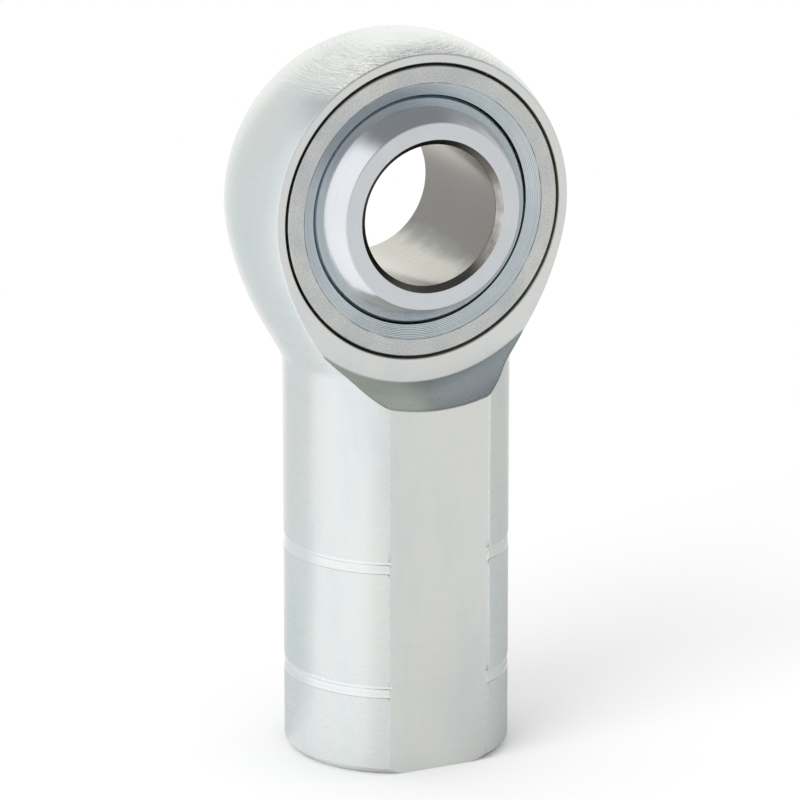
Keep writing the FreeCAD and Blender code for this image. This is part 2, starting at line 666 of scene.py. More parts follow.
def edges_of(triangles: Points) -> Points:
    """Lists every edge once.

    Args:
        triangles: rows of three point numbers.

    Returns:
        The edges, as rows of two point numbers in rising order.
    """
    pairs = np.concatenate([triangles[:, [0, 1]], triangles[:, [1, 2]], triangles[:, [2, 0]]])
    count = int(triangles.max()) + 1
    keys = np.unique(pairs.min(axis=1) * count + pairs.max(axis=1))
    return np.stack([keys // count, keys % count], axis=1)


def split(points: Points, triangles: Points, pairs: Points, fresh: Points) -> tuple[Points, Points]:
    """Puts one new point on each of some edges, and divides the triangles beside them.

    Args:
        points: rows of (x, y, z).
        triangles: rows of three point numbers.
        pairs: the edges, as rows of two point numbers in rising order.
        fresh: the new point of each edge.

    Returns:
        The points with the new ones after them, and the new triangles.
    """
    if not len(pairs):
        return points, triangles
    base = len(points)
    keys = pairs[:, 0] * base + pairs[:, 1]
    order = np.argsort(keys)
    marks = []
    for first, second in ((0, 1), (1, 2), (2, 0)):
        low = np.minimum(triangles[:, first], triangles[:, second])
        high = np.maximum(triangles[:, first], triangles[:, second])
        key = low * base + high
        spot = np.minimum(np.searchsorted(keys[order], key), len(keys) - 1)
        marks.append(np.where(keys[order][spot] == key, base + order[spot], -1))
    marks = np.stack(marks, axis=1)
    touched = marks.max(axis=1) >= 0
    made = []
    for corners, middles in zip(triangles[touched].tolist(), marks[touched].tolist()):
        count = sum(middle >= 0 for middle in middles)
        if count == 3:
            (a, b, c), (ab, bc, ca) = corners, middles
            made += [(a, ab, ca), (ab, b, bc), (ca, bc, c), (ab, bc, ca)]
            continue
        whole = next(k for k in range(3) if (middles[k] < 0) == (count == 2))
        a, b, c = corners[whole:] + corners[:whole]
        ab, bc, ca = middles[whole:] + middles[:whole]
        if count == 1:
            made += [(a, ab, c), (ab, b, c)]
        else:
            made += [(c, ca, bc), (ca, a, b), (ca, b, bc)]
    return np.concatenate([points, fresh]), np.concatenate([triangles[~touched], np.array(made)])


def scribe(
    points: Points,
    triangles: Points,
    measure: Callable[[Points], Points],
    level: float,
    snap: float = 0.004,
) -> tuple[Points, Points]:
    """Cuts triangles along the line where a measure has a level.

    Args:
        points: rows of (x, y, z).
        triangles: rows of three point numbers.
        measure: function of points that gives one number each.
        level: the number on the line.
        snap: how near to the line a point counts as on it.

    Returns:
        The points with the new ones after them, and the new triangles.
    """
    shortest, ends = 0.3, (0.05, 0.95)
    passes, narrowings = 2, 6
    for _ in range(passes):
        value = measure(points) - level
        pairs = edges_of(triangles)
        near = (value[pairs[:, 0]] > 0) & (value[pairs[:, 1]] > 0)
        near &= np.linalg.norm(points[pairs[:, 0]] - points[pairs[:, 1]], axis=1) > shortest
        pairs = pairs[near]
        middle = points[pairs].mean(axis=1)
        inside = measure(middle) - level < -snap
        points, triangles = split(points, triangles, pairs[inside], middle[inside])
    value = measure(points) - level
    value[np.abs(value) < snap] = 0
    pairs = edges_of(triangles)
    pairs = pairs[np.sign(value)[pairs].prod(axis=1) < 0]
    low, high = points[pairs[:, 0]], points[pairs[:, 1]]
    low_value, high_value = value[pairs[:, 0]].copy(), value[pairs[:, 1]].copy()
    for _ in range(narrowings):
        share = np.clip(low_value / (low_value - high_value), *ends)
        middle = low + (high - low) * share[:, None]
        middle_value = measure(middle) - level
        same = middle_value * low_value > 0
        low[same], low_value[same] = middle[same], middle_value[same]
        high[~same], high_value[~same] = middle[~same], middle_value[~same]
    share = low_value / (low_value - high_value)
    return split(points, triangles, pairs, low + (high - low) * share[:, None])


def settle(points: Points, shape: Carved, steps: int = 4, stride: float = 0.1) -> tuple[Points, Points]:
    """Moves points onto a shape's surface.

    Args:
        points: rows of (x, y, z) near the surface.
        shape: the shape.
        steps: number of times that they are moved.
        stride: the furthest that they are moved at a time.

    Returns:
        The points on the surface, and the unit normals there.
    """
    for _ in range(steps):
        value, gradient = shape.field(points)
        square = np.maximum(np.einsum("ij,ij->i", gradient, gradient), POLE)
        step = gradient * (value / square)[:, None]
        length = np.linalg.norm(step, axis=1)[:, None]
        points = points - step * np.minimum(1, stride / np.maximum(length, TINY))
    _, gradient = shape.field(points)
    return points, gradient / np.linalg.norm(gradient, axis=1)[:, None]


def linked(name: str, data: bpy.types.ID) -> bpy.types.Object:
    """Makes an object.

    Args:
        name: its name.
        data: its mesh, camera or lamp.

    Returns:
        The object, linked to the scene.
    """
    made = bpy.data.objects.new(name, data)
    bpy.context.scene.collection.objects.link(made)
    return made


def temporary(name: str, points: Points, faces: Faces) -> bpy.types.Object:
    """Makes an object for cutting.

    Args:
        name: its name.
        points: rows of (x, y, z) in millimetres.
        faces: rows of point numbers.

    Returns:
        The object, in millimetres.
    """
    mesh = bpy.data.meshes.new(name)
    mesh.from_pydata(points.tolist(), [], faces)
    mesh.update()
    return linked(name, mesh)


def carve(blank: tuple[Points, Faces], cutters: list[tuple[Points, Faces]]) -> tuple[Points, Points]:
    """Takes the cutters away from a blank.

    Args:
        blank: points and faces of the blank.
        cutters: points and faces of each cutter.

    Returns:
        The points, and the triangles as rows of three point numbers.
    """
    body = temporary("blank", *blank)
    tools = [temporary(f"cutter_{number}", *cutter) for number, cutter in enumerate(cutters)]
    for tool in tools:
        cut = body.modifiers.new("cut", "BOOLEAN")
        cut.operation = "DIFFERENCE"
        cut.solver = "MANIFOLD"
        cut.object = tool
    bpy.context.view_layer.update()
    graph = bpy.context.evaluated_depsgraph_get()
    mesh = bpy.data.meshes.new_from_object(body.evaluated_get(graph))
    mesh.calc_loop_triangles()
    points = np.zeros(len(mesh.vertices) * 3)
    mesh.vertices.foreach_get("co", points)
    triangles = np.zeros(len(mesh.loop_triangles) * 3, dtype=np.int64)
    mesh.loop_triangles.foreach_get("vertices", triangles)
    for leftover in [body, *tools]:
        data = leftover.data
        bpy.data.objects.remove(leftover)
        bpy.data.meshes.remove(data)
    bpy.data.meshes.remove(mesh)
    return points.reshape(-1, 3), triangles.reshape(-1, 3)


def make_piece(
    name: str,
    points: Points,
    faces: Points | Faces,
    normals: Points,
    materials: list[bpy.types.Material],
    places: Points,
    along: Points,
) -> bpy.types.Object:
    """Makes a piece with exact normals.

    Args:
        name: name of the piece.
        points: rows of (x, y, z) in millimetres.
        faces: rows of point numbers.
        normals: unit normal at each point.
        materials: the finishes that it has.
        places: which of the materials each face has.
        along: length of turning profile at each point, in millimetres.

    Returns:
        The object, in metres and linked to the scene.
    """
    mesh = bpy.data.meshes.new(name)
    mesh.from_pydata((points * MM).tolist(), [], [tuple(map(int, f)) for f in faces])
    mesh.update()
    for material in materials:
        mesh.materials.append(material)
    mesh.polygons.foreach_set("material_index", np.asarray(places, dtype=np.int32))
    mesh.polygons.foreach_set("use_smooth", np.ones(len(mesh.polygons), dtype=bool))
    layer = mesh.attributes.new("turning", "FLOAT", "POINT")
    layer.data.foreach_set("value", along.astype(np.float32))
    mesh.normals_split_custom_set_from_vertices(normals.tolist())
    return linked(name, mesh)


# Finishes


def grey(level: float) -> tuple[float, ...]:
    """Opaque grey of a level."""
    return level, level, level, 1.0


class Graph:
    """Adds shader nodes to one material or world and links them."""

    def __init__(self, tree: bpy.types.NodeTree) -> None:
        """Empties the tree and keeps it."""
        self.tree = tree
        tree.nodes.clear()

    def node(self, kind: str, settings: dict[str, str] | None = None, **inputs: Input) -> bpy.types.Node:
        """Adds a node.

        Args:
            kind: Blender's name of the node, without the ShaderNode in front.
            settings: the node's own properties.
            inputs: value of, or socket to link to, each input; spaces in the input's name are
                underscores, and a name like in_0 stands for the input's place.

        Returns:
            The node.
        """
        made = self.tree.nodes.new("ShaderNode" + kind)
        for name, value in (settings or {}).items():
            setattr(made, name, value)
        for name, value in inputs.items():
            key = int(name[3:]) if name.startswith("in_") else name.replace("_", " ")
            socket = made.inputs[key]
            if isinstance(value, Socket):
                self.tree.links.new(value, socket)
            else:
                socket.default_value = value
        return made

    def math(self, operation: str, *values: Input) -> Socket:
        """Result of a math node on numbers or sockets."""
        named = {f"in_{place}": value for place, value in enumerate(values)}
        return self.node("Math", {"operation": operation}, **named).outputs[0]

    def vector(self, operation: str, *values: Input) -> Socket:
        """Result of a vector math node.

        Args:
            operation: Blender's name of what it does.
            values: vectors or sockets that it does it to.

        Returns:
            The socket of a number for a dot product or a length, and of a vector otherwise.
        """
        named = {f"in_{place}": value for place, value in enumerate(values)}
        made = self.node("VectorMath", {"operation": operation}, **named)
        return made.outputs["Value" if operation in ("DOT_PRODUCT", "LENGTH") else "Vector"]

    def scaled(self, vector: Socket, factor: Input) -> Socket:
        """Vector or colour times a number."""
        return self.node("VectorMath", {"operation": "SCALE"}, in_0=vector, Scale=factor).outputs[0]

    def parts(self, vector: Socket) -> tuple[Socket, ...]:
        """The three numbers of a vector."""
        return tuple(self.node("SeparateXYZ", None, Vector=vector).outputs)

    def level(self, vector: Socket) -> Socket:
        """Level part of a vector, made one long."""
        return self.vector("NORMALIZE", self.vector("MULTIPLY", vector, (1.0, 1.0, 0.0)))

    def ramp(self, value: Socket, places: tuple[float, ...], colours: tuple[Colour, ...]) -> Socket:
        """Colour of a ramp at a value.

        Args:
            value: the socket that the ramp reads.
            places: where each colour stands.
            colours: the colours.

        Returns:
            The colour's socket.
        """
        made = self.node("ValToRGB", None, Fac=value)
        elements = made.color_ramp.elements
        while len(elements) < len(places):
            elements.new(0.5)
        for element, place, colour in zip(elements, places, colours):
            element.position = place
            element.color = (*colour, 1.0)
        return made.outputs["Color"]

    def spread(self, value: Socket, source: Pair, target: Pair, smooth: bool = False) -> Socket:
        """Moves a value from one range to another.

        Args:
            value: the value's socket.
            source: the range that it is moved from, outside which it is clamped.
            target: the range that it is moved to.
            smooth: whether it starts and ends softly.

        Returns:
            The moved value's socket.
        """
        return self.node(
            "MapRange", {"interpolation_type": "SMOOTHSTEP" if smooth else "LINEAR"},
            Value=value, From_Min=source[0], From_Max=source[1], To_Min=target[0], To_Max=target[1],
        ).outputs[0]

    def mix(self, share: Socket, first: Input, second: Input) -> Socket:
        """Colour between two colours, the second where the share is 1."""
        return self.node("Mix", {"data_type": "RGBA"}, in_0=share, in_6=first, in_7=second).outputs[2]

    def noise(self, place: Socket, scale: float, detail: float, roughness: float) -> Socket:
        """Value of a noise in space.

        Args:
            place: place in the noise.
            scale: number of its waves in a length of 1.
            detail: number of finer waves on them.
            roughness: how strong the finer ones are.

        Returns:
            The value's socket.
        """
        return self.node(
            "TexNoise", {"noise_dimensions": "3D"},
            Vector=place, Scale=scale, Detail=detail, Roughness=roughness,
        ).outputs[0]

    def bump(self, height: Socket, depth: float, under: Socket | None, strength: Input = 1.0) -> Socket:
        """Normal of a surface with a relief on it.

        Args:
            height: height of the relief, for a depth of 1.
            depth: depth of the relief in millimetres.
            under: normal of the surface that the relief lies on, or None for the plain one.
            strength: share of the relief that shows.

        Returns:
            The normal's socket.
        """
        more = {} if under is None else {"Normal": under}
        return self.node(
            "Bump", None, Strength=strength, Distance=depth * MM, Height=height, **more
        ).outputs[0]


class Lay(Enum):
    """Direction in which the tool marks of a metal surface run."""

    AROUND_SHANK = "around the shank, one after another along its profile"
    AROUND_BORE = "in rings about the bore on a face"
    ALONG_BORE = "in rings about the bore, one after another along it"
    ACROSS_FLAT = "across a wrench flat"


@dataclass(frozen=True)
class Metal:
    """Metal finish: three tints in soft patches, tool marks, fine grain and an uneven gloss.

    Lengths are in millimetres, and places are measured from the centre of the head. Where a finish has a
    sweep, its tint runs from lighter to darker across the part as painted light and shade.
    """

    name: str
    tints: tuple[Colour, Colour, Colour]
    roughness: Pair
    lay: Lay
    mark_spacing: float = 0.25
    mark_depth: float = 0.0
    mark_run: float = 40.0
    grain: float = 0.0
    grain_size: float = 0.12
    patch_size: float = 9.0
    patch_stretch: float = 1.0
    streak: float = 0.0
    speckle: float = 0.0
    # The sweep and its shift paint light and shade: the tint runs from the lighter to the darker one
    # across the part.
    sweep: Triple = (0.0, 0.0, 0.0)
    painted_light_shift: float = 0.0
    waviness: float = 0.0
    groove_pitch: float = 0.0
    groove_depth: float = 0.0
    groove_way: Triple = (0.7, 0.0, -0.7)
    groove_fade: Pair = (-7.0, 6.0)
    groove_least: float = 0.15
    tear_depth: float = 0.0
    tear_start: Pair = (12.5, 16.0)
    tear_end: Pair = (17.8, 18.9)
    tear_least: float = 0.25
    tear_shade: float = 0.84
    tear_stretch: Triple = (0.9, 7.0, 7.0)

    def material(self, centre: float) -> bpy.types.Material:
        """Makes the material.

        Args:
            centre: height of the head's centre in millimetres.

        Returns:
            The material, with its nodes.
        """
        made = bpy.data.materials.new(self.name)
        made.use_nodes = True
        graph = Graph(made.node_tree)
        place = graph.node("TexCoord").outputs["Object"]
        centred = graph.vector("SUBTRACT", place, (0.0, 0.0, centre * MM))
        marks_at = self.marks_place(graph, centred)
        stretched = graph.vector("MULTIPLY", centred, (1.0, 1.0, 1 / self.patch_stretch))
        patch_scale = 1 / (self.patch_size * MM)
        patches = graph.noise(stretched, patch_scale, detail=3.0, roughness=0.55)
        marks = graph.noise(marks_at, 1.0, detail=2.0, roughness=0.6)
        grain = graph.noise(centred, 1 / (self.grain_size * MM), detail=2.0, roughness=0.7)
        tint = self.tint(graph, centred, patches)
        if self.streak:
            shades = (1 - self.streak, 1 + self.streak * BRIGHTENING)
            tint = graph.scaled(tint, graph.spread(marks, NOISE_MOST, shades))
        if self.speckle:
            tint = graph.scaled(tint, graph.spread(grain, SPECKLE_AT, (1 - self.speckle, 1.0)))
        mixed = graph.math("ADD", graph.math("MULTIPLY", marks, 0.5), graph.math("MULTIPLY", grain, 0.5))
        gloss = graph.spread(mixed, NOISE_MOST, self.roughness)
        normal = graph.bump(marks, self.mark_depth, None)
        if self.grain:
            normal = graph.bump(grain, self.grain, normal)
        if self.groove_depth:
            rate = math.tau * self.mark_spacing / self.groove_pitch
            turns = graph.math("MULTIPLY", graph.parts(marks_at)[0], rate)
            fade = tuple(end * MM for end in self.groove_fade)
            side = graph.vector("DOT_PRODUCT", centred, self.groove_way)
            shown = graph.spread(side, fade, (self.groove_least, 1.0))
            normal = graph.bump(graph.math("SINE", turns), self.groove_depth, normal, shown)
        if self.tear_depth:
            torn = self.tears(graph, centred, marks_at)
            normal = graph.bump(torn, self.tear_depth, normal)
            tint = graph.scaled(tint, graph.spread(torn, TEARS_AT, (1.0, self.tear_shade)))
        if self.waviness:
            swell = graph.noise(stretched, patch_scale, detail=1.0, roughness=0.4)
            normal = graph.bump(swell, self.waviness, normal)
        shader = graph.node(
            "BsdfPrincipled", None, Base_Color=tint, Metallic=1.0, Roughness=gloss, Normal=normal
        )
        graph.node("OutputMaterial", None, Surface=shader.outputs[0])
        return made

    def tint(self, graph: Graph, centred: Socket, patches: Socket) -> Socket:
        """Tint of the metal, from one to the next along the sweep where it has one, which paints light and
        shade across the part.

        Args:
            graph: the material's graph.
            centred: place from the centre of the head, in metres.
            patches: noise of the soft patches.

        Returns:
            The colour's socket.
        """
        if any(self.sweep):
            along = graph.vector("DOT_PRODUCT", centred, tuple(part / MM for part in self.sweep))
            middle = 0.5 * (1 - PATCH_SHARE) + self.painted_light_shift
            soft = graph.math("MULTIPLY_ADD", patches, PATCH_SHARE, middle)
            patches = graph.math("ADD", along, soft)
        return graph.ramp(patches, TINTS_AT, self.tints)

    def tears(self, graph: Graph, centred: Socket, marks_at: Socket) -> Socket:
        """Torn turning marks near the top of the head, where the tool ran slow.

        Args:
            graph: the material's graph.
            centred: place from the centre of the head, in metres.
            marks_at: place in the noise of the tool marks.

        Returns:
            The socket of their height, 0 where there are none.
        """
        height = graph.parts(centred)[2]
        start, end = (tuple(level * MM for level in levels) for levels in (self.tear_start, self.tear_end))
        share = graph.math(
            "MULTIPLY",
            graph.spread(height, start, (0.0, 1.0), smooth=True),
            graph.spread(height, end, (1.0, self.tear_least), smooth=True),
        )
        short = graph.vector("MULTIPLY", marks_at, self.tear_stretch)
        return graph.math("MULTIPLY", graph.noise(short, 1.0, detail=3.0, roughness=0.65), share)

    def marks_place(self, graph: Graph, centred: Socket) -> Socket:
        """Place in the noise that draws the tool marks, fine across them and long along them.

        Args:
            graph: the material's graph.
            centred: place from the centre of the head, in metres.

        Returns:
            The vector's socket.
        """
        x, y, z = graph.parts(centred)
        fine = 1 / (self.mark_spacing * MM)
        coarse = 1 / (self.mark_run * MM)
        second = y if self.lay in (Lay.AROUND_SHANK, Lay.ACROSS_FLAT) else z
        if self.lay is Lay.AROUND_SHANK:
            across = graph.node("Attribute", {"attribute_name": "turning"}).outputs["Fac"]
            fine *= MM
        elif self.lay is Lay.ACROSS_FLAT:
            across = z
        elif self.lay is Lay.AROUND_BORE:
            squares = graph.math("ADD", graph.math("MULTIPLY", x, x), graph.math("MULTIPLY", z, z))
            across = graph.math("SQRT", squares)
        else:
            across = y
        return graph.node(
            "CombineXYZ", None, X=graph.math("MULTIPLY", across, fine),
            Y=graph.math("MULTIPLY", x, coarse), Z=graph.math("MULTIPLY", second, coarse),
        ).outputs[0]


class Finish(Enum):
    """The part's finishes, each with its metal."""

    # Bright zinc on the turned head, neck and shank.
    TURNED = Metal(
        "zinc_turned", ((0.74, 0.78, 0.79), (0.79, 0.81, 0.80), (0.81, 0.807, 0.78)), (0.24, 0.34),
        Lay.AROUND_SHANK, mark_spacing=0.30, mark_depth=0.0015, mark_run=30.0, grain=0.0005,
        grain_size=0.15, streak=0.02, patch_size=6.0, patch_stretch=3.5, tear_depth=0.20, waviness=0.22,
    )
    # Bright zinc on the milled faces of the head.
    FACED = Metal(
        "zinc_faced", ((0.76, 0.78, 0.78), (0.80, 0.81, 0.80), (0.82, 0.81, 0.78)), (0.30, 0.42),
        Lay.AROUND_BORE, mark_spacing=0.22, mark_depth=0.002, mark_run=12.0, grain=0.0015,
        grain_size=0.15, streak=0.04, speckle=0.05,
    )
    # Zinc on the conical ledges, darker than on the faces as painted shade, and paler and greener towards
    # -X, bluer towards +X, as painted light from the lamp's side.
    LEDGE = Metal(
        "zinc_ledge", ((0.70, 0.74, 0.66), (0.51, 0.545, 0.515), (0.54, 0.58, 0.60)), (0.24, 0.36),
        Lay.AROUND_BORE, mark_spacing=0.25, mark_depth=0.002, mark_run=10.0, grain=0.003,
        grain_size=0.16, streak=0.05, speckle=0.10, sweep=(0.05, 0.0, 0.0),
    )
    # Zinc on the wrench flats, with faint marks of the mill and a soft mottle.
    FLAT = Metal(
        "zinc_flat", ((0.75, 0.778, 0.763), (0.788, 0.797, 0.777), (0.805, 0.797, 0.763)), (0.32, 0.44),
        Lay.ACROSS_FLAT, mark_spacing=0.45, mark_depth=0.001, mark_run=25.0, grain=0.002,
        grain_size=0.2, streak=0.02, patch_size=4.5, patch_stretch=3.0, waviness=0.02, speckle=0.03,
    )
    # Zinc with turning rings in the shank's marker grooves, lighter than the shank as a painted highlight.
    GROOVE = Metal(
        "zinc_groove", ((0.85, 0.87, 0.88), (0.88, 0.89, 0.89), (0.90, 0.90, 0.88)), (0.20, 0.32),
        Lay.AROUND_SHANK, mark_spacing=0.20, mark_depth=0.006, mark_run=20.0, streak=0.06,
    )
    # Zinc on the rounded, broken edges, paler and bluer than the rest as a painted highlight along them.
    EDGE = Metal(
        "zinc_edge", ((0.82, 0.85, 0.91), (0.85, 0.87, 0.92), (0.84, 0.86, 0.88)), (0.22, 0.34),
        Lay.ACROSS_FLAT, mark_spacing=0.5, mark_depth=0.004, patch_size=3.0, streak=0.12,
    )
    # Zinc in the fillet round the ledges, darkened as painted shade in the crease.
    SEAM = Metal(
        "zinc_seam", ((0.26, 0.28, 0.28), (0.36, 0.38, 0.37), (0.52, 0.53, 0.50)), (0.30, 0.42),
        Lay.ACROSS_FLAT, mark_spacing=0.4, mark_depth=0.004, patch_size=1.6, streak=0.15,
    )
    # Zinc in the joint between head and race, darkened as painted shade in the gap.
    CREVICE_PAINTED_SHADE = Metal(
        "zinc_crevice", ((0.38, 0.37, 0.315), (0.46, 0.445, 0.38), (0.50, 0.485, 0.42)), (0.40, 0.55),
        Lay.AROUND_BORE, mark_spacing=0.2, mark_depth=0.002, streak=0.1, patch_size=4.0,
    )
    # Darker zinc in the threaded hole.
    THREAD = Metal(
        "zinc_thread", ((0.40, 0.41, 0.39), (0.48, 0.48, 0.45), (0.44, 0.45, 0.44)), (0.25, 0.4),
        Lay.AROUND_SHANK, mark_spacing=0.12, mark_depth=0.002, streak=0.08, patch_size=4.0,
    )
    # Grainy grey steel on the faces of the race.
    RACE_FACE = Metal(
        "race_face", ((0.60, 0.63, 0.635), (0.67, 0.68, 0.675), (0.74, 0.74, 0.72)), (0.34, 0.46),
        Lay.AROUND_BORE, mark_spacing=0.3, mark_depth=0.001, mark_run=8.0, grain=0.008,
        grain_size=0.17, streak=0.04, patch_size=4.0, speckle=0.26,
    )
    # Bluish steel with fine turning rings in the mouths of the race.
    RACE_MOUTH = Metal(
        "race_mouth", ((0.55, 0.60, 0.635), (0.60, 0.65, 0.685), (0.65, 0.70, 0.73)), (0.12, 0.20),
        Lay.AROUND_BORE, mark_spacing=0.30, mark_depth=0.004, mark_run=60.0, streak=0.08,
        groove_pitch=0.17, groove_depth=0.026,
    )
    # Broken dark line round each mouth of the race, a dark speckled tint.
    RACE_RIM = Metal(
        "race_rim", ((0.22, 0.225, 0.23), (0.36, 0.37, 0.38), (0.62, 0.64, 0.65)), (0.34, 0.46),
        Lay.AROUND_BORE, mark_spacing=0.2, mark_depth=0.002, mark_run=6.0, grain=0.006,
        grain_size=0.20, streak=0.10, patch_size=2.2, speckle=0.30,
    )
    # Bluish steel between the race's lip and the ball, darkened as painted shade in the gap.
    SEAT_LIP_PAINTED_SHADE = Metal(
        "seat_lip", ((0.34, 0.40, 0.45), (0.40, 0.46, 0.51), (0.36, 0.42, 0.47)), (0.30, 0.42),
        Lay.AROUND_BORE, mark_spacing=0.2, mark_depth=0.001, mark_run=20.0, streak=0.05, patch_size=5.0,
    )
    # Polished steel of the ball and its seat.
    BALL_POLISH = Metal(
        "ball_polish", ((0.75, 0.78, 0.81), (0.78, 0.80, 0.82), (0.76, 0.78, 0.81)), (0.12, 0.20),
        Lay.ALONG_BORE, mark_spacing=0.45, mark_depth=0.012, mark_run=50.0, streak=0.03, patch_size=14.0,
    )
    # Satin steel on the flat faces of the ball.
    BALL_FACE = Metal(
        "ball_face", ((0.70, 0.715, 0.75), (0.73, 0.745, 0.78), (0.71, 0.725, 0.76)), (0.30, 0.42),
        Lay.AROUND_BORE, mark_spacing=0.16, mark_depth=0.0015, mark_run=9.0, grain=0.0015,
        grain_size=0.14, streak=0.04, speckle=0.04,
    )
    # Ground warm grey steel in the ball's bore, darker towards the top and lighter low down, as painted
    # shade.
    BALL_BORE_PAINTED_SHADE = Metal(
        "ball_bore", ((0.56, 0.55, 0.515), (0.38, 0.37, 0.34), (0.310, 0.283, 0.258)), (0.18, 0.28),
        Lay.ALONG_BORE, mark_spacing=0.20, mark_depth=0.002, mark_run=14.0, streak=0.08,
        patch_size=4.0, sweep=(0.0, 0.0, 0.16), painted_light_shift=0.97,
    )
    # Ground chamfer of the ball's bore, darkened as painted shade, with a painted highlight towards +X.
    BORE_RIM_PAINTED_LIGHT = Metal(
        "bore_rim", ((0.17, 0.155, 0.135), (0.29, 0.27, 0.245), (0.74, 0.72, 0.69)), (0.18, 0.28),
        Lay.ALONG_BORE, mark_spacing=0.12, mark_depth=0.001, mark_run=3.0, streak=0.12,
        patch_size=3.0, sweep=(0.10, 0.0, -0.02), painted_light_shift=-0.75,
    )


@dataclass
class Finishes:
    """Makes each finish once, when a piece first asks for it."""

    centre: float
    made: dict[Finish, bpy.types.Material] = field(default_factory=dict)

    def take(self, *wanted: Finish) -> list[bpy.types.Material]:
        """Materials of some finishes.

        Args:
            wanted: the finishes.

        Returns:
            Their materials, in the same order.
        """
        for finish in wanted:
            if finish not in self.made:
                self.made[finish] = finish.value.material(self.centre)
        return [self.made[finish] for finish in wanted]


# The three parts


@dataclass
class Sizes:
    """Sizes shared by the parts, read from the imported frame."""

    centre: float
    pin: float
    ball_half: float
    head_half: float
    race: float
    head: float
    minor: float

    @staticmethod
    def from_frame() -> "Sizes":
        """Reads the sizes.

        Returns:
            The sizes in millimetres.
        """
        mounts = {mount["name"]: mount for mount in frame["record"]["mounts"]}
        centre = mounts["pin_bore"]["pos_m"][2] / MM
        race_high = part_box("race")[1]
        return Sizes(
            centre=centre,
            pin=mounts["pin_bore"]["dims"]["r_mm"],
            ball_half=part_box("ball")[1].y / MM,
            head_half=race_high.y / MM,
            race=round(race_high.x / MM, 3),
            head=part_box("body")[1].z / MM - centre,
            minor=mounts["shank_thread"]["dims"]["r_mm"],
        )


def laid_ring(
    name: str, turned: Turned, materials: list[bpy.types.Material], places: Callable[[Points], Points]
) -> bpy.types.Object:
    """Ring turned about the bore, with a finish for each kind of face.

    Args:
        name: name of the piece.
        turned: the ring.
        materials: the finishes.
        places: function of rows of (radius, height) that gives each one's finish.

    Returns:
        The object.
    """
    points, faces = turned.mesh(AROUND_BORE, RING_LONGEST, RING_SAGITTA)
    _, normals = turned.field(points)
    centres = np.array([points[list(face)].mean(axis=0) for face in faces])
    chosen = places(turned.local(centres)[0])
    return make_piece(name, points, faces, normals, materials, chosen, turned.along(points))


@dataclass
class Ball:
    """Polished ball with flat faces, broken edges and a ground, chamfered bore."""

    sizes: Sizes
    face_ring: float = 2.03
    bore_chamfer: float = 0.68
    edge_break: float = 0.30
    bore_edge: float = 0.12

    def profile(self) -> Profile:
        """Section of the ball.

        Returns:
            The closed profile.
        """
        half, pin = self.sizes.ball_half, self.sizes.pin
        chamfer, deep = pin + self.bore_chamfer, half - self.bore_chamfer
        face, low = chamfer + self.face_ring - self.edge_break, half - self.edge_break
        angle = math.atan2(low, face)
        reach = math.hypot(face, low) + self.edge_break
        rim = (reach * math.cos(angle), reach * math.sin(angle))
        below = (rim[0], -rim[1])
        quarter = math.pi / 2 - angle
        top = [(face, half, 0.0), (chamfer, half, self.bore_edge), (pin, deep, self.bore_edge)]
        inside = Profile.rounded(top + turned_over(top))
        sphere = Run(below, rim, (0.0, 0.0), 2 * angle)
        upper = Run(rim, (face, half), (face, low), quarter)
        lower = Run((face, -half), below, (face, -low), quarter)
        return Profile((sphere, upper) + inside.runs + (lower,), True)

    def places(self, rows: Points) -> Points:
        """Finish of each place on the ball.

        Args:
            rows: rows of (radius, height).

        Returns:
            0 for the sphere, 1 a face, 2 the bore, 3 its chamfer.
        """
        height = np.abs(rows[:, 1])
        face = height > self.sizes.ball_half - 3 * NEAR
        bore = rows[:, 0] < self.sizes.pin + self.bore_chamfer - NEAR
        # The chamfer takes painted shade with a painted highlight, and the bore painted shade.
        rim = bore & (height > self.sizes.ball_half - self.bore_chamfer)
        return np.select([rim, bore, face], [3, 2, 1], 0)

    def build(self, finishes: Finishes) -> bpy.types.Object:
        """Makes the ball and joins it to the frame.

        Args:
            finishes: the part's finishes.

        Returns:
            The ball.
        """
        turned = Turned(self.profile(), Axis.BORE, self.sizes.centre)
        materials = finishes.take(Finish.BALL_POLISH, Finish.BALL_FACE, Finish.BALL_BORE_PAINTED_SHADE, Finish.BORE_RIM_PAINTED_LIGHT)
        made = laid_ring("swivel_ball", turned, materials, self.places)
        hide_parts("ball")
        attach(made, "ball")
        return made


